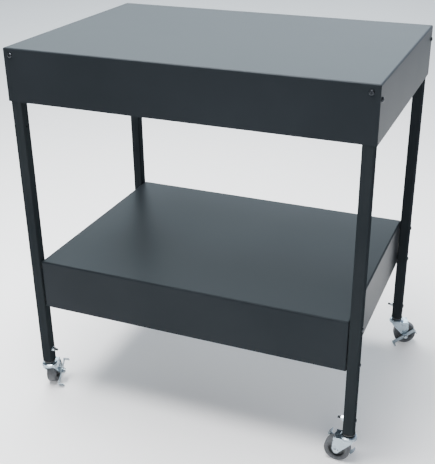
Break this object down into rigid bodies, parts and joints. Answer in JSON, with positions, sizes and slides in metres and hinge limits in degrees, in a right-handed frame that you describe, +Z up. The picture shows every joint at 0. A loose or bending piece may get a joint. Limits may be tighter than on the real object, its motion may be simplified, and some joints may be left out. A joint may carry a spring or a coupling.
{
  "type": "equipment cart",
  "caption": "Dark grey equipment cart: a folded steel top pan and a lower shelf on square tube legs, each leg on a small braked swivel caster",
  "frame": {"origin": "on the floor under the middle of the cart", "axes": "+Z up, front of the cart is -Y, the cart's long side lies along X"},
  "size_m": [0.8706, 0.6029, 0.8812],
  "materials": {
    "powder_coat": "satin powder coat, dark grey, fine orange peel",
    "black_screws": "black oxide, satin",
    "zinc_hardware": "bright zinc plated, turned",
    "zinc_pressed": "bright zinc plated pressed sheet",
    "bearing_steel": "polished ball steel",
    "black_plastic": "matt moulded nylon",
    "wheel_plastic": "matt moulded, grey",
    "grey_tyre": "matt grey rubber, lightly worn"
  },
  "bodies": {
    "cart": {"top_pan": "powder_coat", "lower_shelf": "powder_coat", "leg_front_left": "powder_coat", "leg_front_right": "powder_coat", "leg_back_left": "powder_coat", "leg_back_right": "powder_coat", "pan_screws": "black_screws", "pan_rivet_nuts": "zinc_hardware", "pan_spacers": "black_plastic", "shelf_bolts": "black_screws", "shelf_spacers": "black_plastic", "shelf_nuts": "zinc_hardware", "caster_bolts": "black_screws", "caster_washers": "zinc_hardware", "caster_nuts": "zinc_hardware", "leg_plug_front_left": "black_plastic", "stem_front_left": "zinc_hardware", "race_cap_front_left": "zinc_pressed", "leg_plug_front_right": "black_plastic", "stem_front_right": "zinc_hardware", "race_cap_front_right": "zinc_pressed", "leg_plug_back_left": "black_plastic", "stem_back_left": "zinc_hardware", "race_cap_back_left": "zinc_pressed", "leg_plug_back_right": "black_plastic", "stem_back_right": "zinc_hardware", "race_cap_back_right": "zinc_pressed"},
    "fork_front_left": {"swivel_balls_front_left": "bearing_steel", "fork_front_left": "zinc_pressed", "axle_front_left": "zinc_hardware", "axle_nut_front_left": "zinc_hardware", "axle_sleeve_front_left": "zinc_hardware"},
    "wheel_front_left": {"wheel_core_front_left": "wheel_plastic", "tyre_front_left": "grey_tyre"},
    "brake_front_left": {"brake_lever_front_left": "zinc_pressed"},
    "fork_front_right": {"swivel_balls_front_right": "bearing_steel", "fork_front_right": "zinc_pressed", "axle_front_right": "zinc_hardware", "axle_nut_front_right": "zinc_hardware", "axle_sleeve_front_right": "zinc_hardware"},
    "wheel_front_right": {"wheel_core_front_right": "wheel_plastic", "tyre_front_right": "grey_tyre"},
    "brake_front_right": {"brake_lever_front_right": "zinc_pressed"},
    "fork_back_left": {"swivel_balls_back_left": "bearing_steel", "fork_back_left": "zinc_pressed", "axle_back_left": "zinc_hardware", "axle_nut_back_left": "zinc_hardware", "axle_sleeve_back_left": "zinc_hardware"},
    "wheel_back_left": {"wheel_core_back_left": "wheel_plastic", "tyre_back_left": "grey_tyre"},
    "brake_back_left": {"brake_lever_back_left": "zinc_pressed"},
    "fork_back_right": {"swivel_balls_back_right": "bearing_steel", "fork_back_right": "zinc_pressed", "axle_back_right": "zinc_hardware", "axle_nut_back_right": "zinc_hardware", "axle_sleeve_back_right": "zinc_hardware"},
    "wheel_back_right": {"wheel_core_back_right": "wheel_plastic", "tyre_back_right": "grey_tyre"},
    "brake_back_right": {"brake_lever_back_right": "zinc_pressed"}
  },
  "joints": [
    {"name": "swivel_front_left", "type": "hinge", "parent": "cart", "child": "fork_front_left", "pos_m": [-0.3926, -0.2658, 0.0665], "axis": [0, 0, 1], "continuous": true},
    {"name": "roll_front_left", "type": "hinge", "parent": "fork_front_left", "child": "wheel_front_left", "pos_m": [-0.39841, -0.24251, 0.03], "axis": [-0.9703, -0.2419, 0], "continuous": true},
    {"name": "brake_front_left", "type": "hinge", "parent": "fork_front_left", "child": "brake_front_left", "pos_m": [-0.39841, -0.24251, 0.03], "axis": [-0.9703, -0.2419, 0], "range_deg": [0, 20]},
    {"name": "swivel_front_right", "type": "hinge", "parent": "cart", "child": "fork_front_right", "pos_m": [0.3926, -0.2658, 0.0665], "axis": [0, 0, 1], "continuous": true},
    {"name": "roll_front_right", "type": "hinge", "parent": "fork_front_right", "child": "wheel_front_right", "pos_m": [0.3686, -0.26538, 0.03], "axis": [-0.0175, -0.9998, 0], "continuous": true},
    {"name": "brake_front_right", "type": "hinge", "parent": "fork_front_right", "child": "brake_front_right", "pos_m": [0.3686, -0.26538, 0.03], "axis": [-0.0175, -0.9998, 0], "range_deg": [0, 20]},
    {"name": "swivel_back_left", "type": "hinge", "parent": "cart", "child": "fork_back_left", "pos_m": [-0.3926, 0.2658, 0.0665], "axis": [0, 0, 1], "continuous": true},
    {"name": "roll_back_left", "type": "hinge", "parent": "fork_back_left", "child": "wheel_back_left", "pos_m": [-0.38133, 0.28699, 0.03], "axis": [-0.8829, 0.4695, 0], "continuous": true},
    {"name": "brake_back_left", "type": "hinge", "parent": "fork_back_left", "child": "brake_back_left", "pos_m": [-0.38133, 0.28699, 0.03], "axis": [-0.8829, 0.4695, 0], "range_deg": [0, 20]},
    {"name": "swivel_back_right", "type": "hinge", "parent": "cart", "child": "fork_back_right", "pos_m": [0.3926, 0.2658, 0.0665], "axis": [0, 0, 1], "continuous": true},
    {"name": "roll_back_right", "type": "hinge", "parent": "fork_back_right", "child": "wheel_back_right", "pos_m": [0.41515, 0.27401, 0.03], "axis": [-0.342, 0.9397, 0], "continuous": true},
    {"name": "brake_back_right", "type": "hinge", "parent": "fork_back_right", "child": "brake_back_right", "pos_m": [0.41515, 0.27401, 0.03], "axis": [-0.342, 0.9397, 0], "range_deg": [0, 20]}
  ]
}
